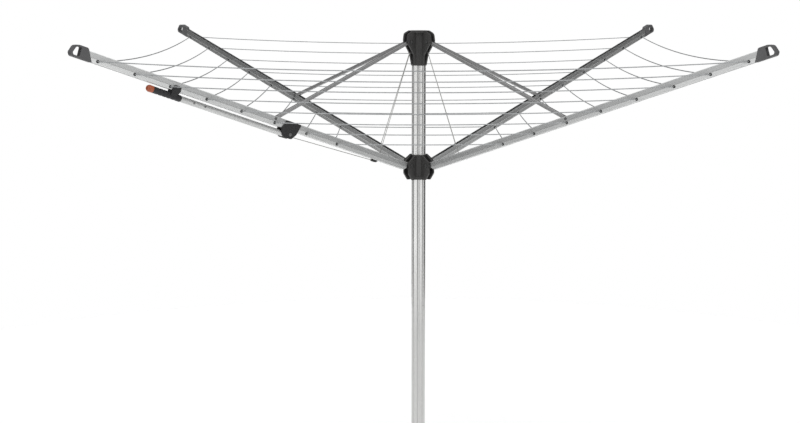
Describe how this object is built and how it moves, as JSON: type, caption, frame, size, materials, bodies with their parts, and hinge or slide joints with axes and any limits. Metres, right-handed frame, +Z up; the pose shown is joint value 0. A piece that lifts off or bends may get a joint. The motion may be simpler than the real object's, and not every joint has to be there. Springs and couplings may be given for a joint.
{
  "type": "rotary clothesline",
  "caption": "Folding rotary clothesline: four rising arms on a turning mast carry square turns of line; struts, a sliding runner and a lever let it fold.",
  "frame": {"origin": "on the mast axis at ground level, where the ground tube's flange rests on the soil", "axes": "+Z up along the mast; the four arms lie on the diagonals between +X and +Y, arm 1 at (-X, -Y), and -Y is the front"},
  "size_m": [2.0548, 2.0548, 2.282],
  "materials": {
    "mast_metal": "satin",
    "arm_metal": "satin",
    "hub_plastic": "satin moulded",
    "cap_plastic": "satin moulded",
    "black_plastic": "moulded",
    "tube_plastic": "matte moulded",
    "bush_plastic": "smooth",
    "rivet_steel": "satin",
    "line_pvc": "smooth coated",
    "cord_fibre": "braided",
    "grip_rubber": "matte",
    "tip_orange": "satin"
  },
  "bodies": {
    "ground": {"ground_tube": "tube_plastic", "ground_collar": "hub_plastic"},
    "mast": {"mast": "mast_metal", "mast_foot": "hub_plastic", "upper_hub": "hub_plastic", "hub_cap": "hub_plastic", "hub_pins": "rivet_steel", "lift_pulleys": "black_plastic", "lift_cord_1": "cord_fibre", "lift_cord_2": "cord_fibre", "lift_cord_3": "cord_fibre", "lift_cord_4": "cord_fibre"},
    "runner": {"runner": "hub_plastic", "runner_bush": "bush_plastic", "runner_pins": "rivet_steel"},
    "strut_1": {"strut_1": "arm_metal", "strut_ends_1": "arm_metal"},
    "strut_2": {"strut_2": "arm_metal", "strut_ends_2": "arm_metal"},
    "strut_3": {"strut_3": "arm_metal", "strut_ends_3": "arm_metal"},
    "strut_4": {"strut_4": "arm_metal", "strut_ends_4": "arm_metal"},
    "arm_1": {"arm_1": "arm_metal", "arm_root_1": "hub_plastic", "end_cap_1": "cap_plastic", "grommets_1": "black_plastic", "strut_pin_1": "rivet_steel", "cord_anchor_1": "black_plastic", "line_1": "line_pvc", "lever_bracket": "black_plastic", "lever_pin": "rivet_steel", "lever_clip": "black_plastic", "pull_cord": "cord_fibre"},
    "arm_2": {"arm_2": "arm_metal", "arm_root_2": "hub_plastic", "end_cap_2": "cap_plastic", "grommets_2": "black_plastic", "strut_pin_2": "rivet_steel", "cord_anchor_2": "black_plastic", "line_2": "line_pvc"},
    "arm_3": {"arm_3": "arm_metal", "arm_root_3": "hub_plastic", "end_cap_3": "cap_plastic", "grommets_3": "black_plastic", "strut_pin_3": "rivet_steel", "cord_anchor_3": "black_plastic", "line_3": "line_pvc"},
    "arm_4": {"arm_4": "arm_metal", "arm_root_4": "hub_plastic", "end_cap_4": "cap_plastic", "grommets_4": "black_plastic", "strut_pin_4": "rivet_steel", "cord_anchor_4": "black_plastic", "line_4": "line_pvc"},
    "lever": {"lever_root": "black_plastic", "lever_tube": "arm_metal", "lever_screws": "rivet_steel", "lever_grip": "grip_rubber", "lever_tip": "tip_orange"}
  },
  "joints": [
    {"name": "mast_turn", "type": "hinge", "parent": "ground", "child": "mast", "pos_m": [0, 0, 0], "axis": [0, 0, 1], "continuous": true},
    {"name": "fold_1", "type": "hinge", "parent": "mast", "child": "strut_1", "pos_m": [-0.03535, -0.03535, 1.853], "axis": [0.7071, -0.7071, 0], "range_deg": [0, 65.75], "deforming": ["lift_cord_1"]},
    {"name": "fold_2", "type": "hinge", "parent": "mast", "child": "strut_2", "pos_m": [0.03535, -0.03535, 1.853], "axis": [0.7071, 0.7071, 0], "range_deg": [0, 65.75], "deforming": ["lift_cord_2"]},
    {"name": "fold_3", "type": "hinge", "parent": "mast", "child": "strut_3", "pos_m": [0.03535, 0.03535, 1.853], "axis": [-0.7071, 0.7071, 0], "range_deg": [0, 65.75], "deforming": ["lift_cord_3"]},
    {"name": "fold_4", "type": "hinge", "parent": "mast", "child": "strut_4", "pos_m": [-0.03535, 0.03535, 1.853], "axis": [-0.7071, -0.7071, 0], "range_deg": [0, 65.75], "deforming": ["lift_cord_4"]},
    {"name": "arm_swing_1", "type": "hinge", "parent": "strut_1", "child": "arm_1", "pos_m": [-0.48089, -0.48089, 1.62066], "axis": [-0.7071, 0.7071, 0], "range_deg": [0, 133.06], "deforming": ["line_1"]},
    {"name": "arm_swing_2", "type": "hinge", "parent": "strut_2", "child": "arm_2", "pos_m": [0.48089, -0.48089, 1.62066], "axis": [-0.7071, -0.7071, 0], "range_deg": [0, 133.06], "deforming": ["line_2"]},
    {"name": "arm_swing_3", "type": "hinge", "parent": "strut_3", "child": "arm_3", "pos_m": [0.48089, 0.48089, 1.62066], "axis": [0.7071, -0.7071, 0], "range_deg": [0, 133.06], "deforming": ["line_3"]},
    {"name": "arm_swing_4", "type": "hinge", "parent": "strut_4", "child": "arm_4", "pos_m": [-0.48089, 0.48089, 1.62066], "axis": [0.7071, 0.7071, 0], "range_deg": [0, 133.06], "deforming": ["line_4"]},
    {"name": "runner_slide", "type": "slide", "parent": "mast", "child": "runner", "axis": [0, 0, -1], "range_m": [0, 0.8885]},
    {"name": "lever_swing", "type": "hinge", "parent": "arm_1", "child": "lever", "pos_m": [-0.44146, -0.44146, 1.56384], "axis": [0.7071, -0.7071, 0], "range_deg": [0, 95]}
  ],
  "couplings": [
    {"joint": "fold_2", "follows": "fold_1", "ratio": 1},
    {"joint": "fold_3", "follows": "fold_1", "ratio": 1},
    {"joint": "fold_4", "follows": "fold_1", "ratio": 1},
    {"joint": "arm_swing_1", "follows": "fold_1", "ratio": 2.0236},
    {"joint": "arm_swing_2", "follows": "fold_1", "ratio": 2.0236},
    {"joint": "arm_swing_3", "follows": "fold_1", "ratio": 2.0236},
    {"joint": "arm_swing_4", "follows": "fold_1", "ratio": 2.0236},
    {"joint": "runner_slide", "follows": "fold_1", "m_per_rad": 0.77404}
  ]
}
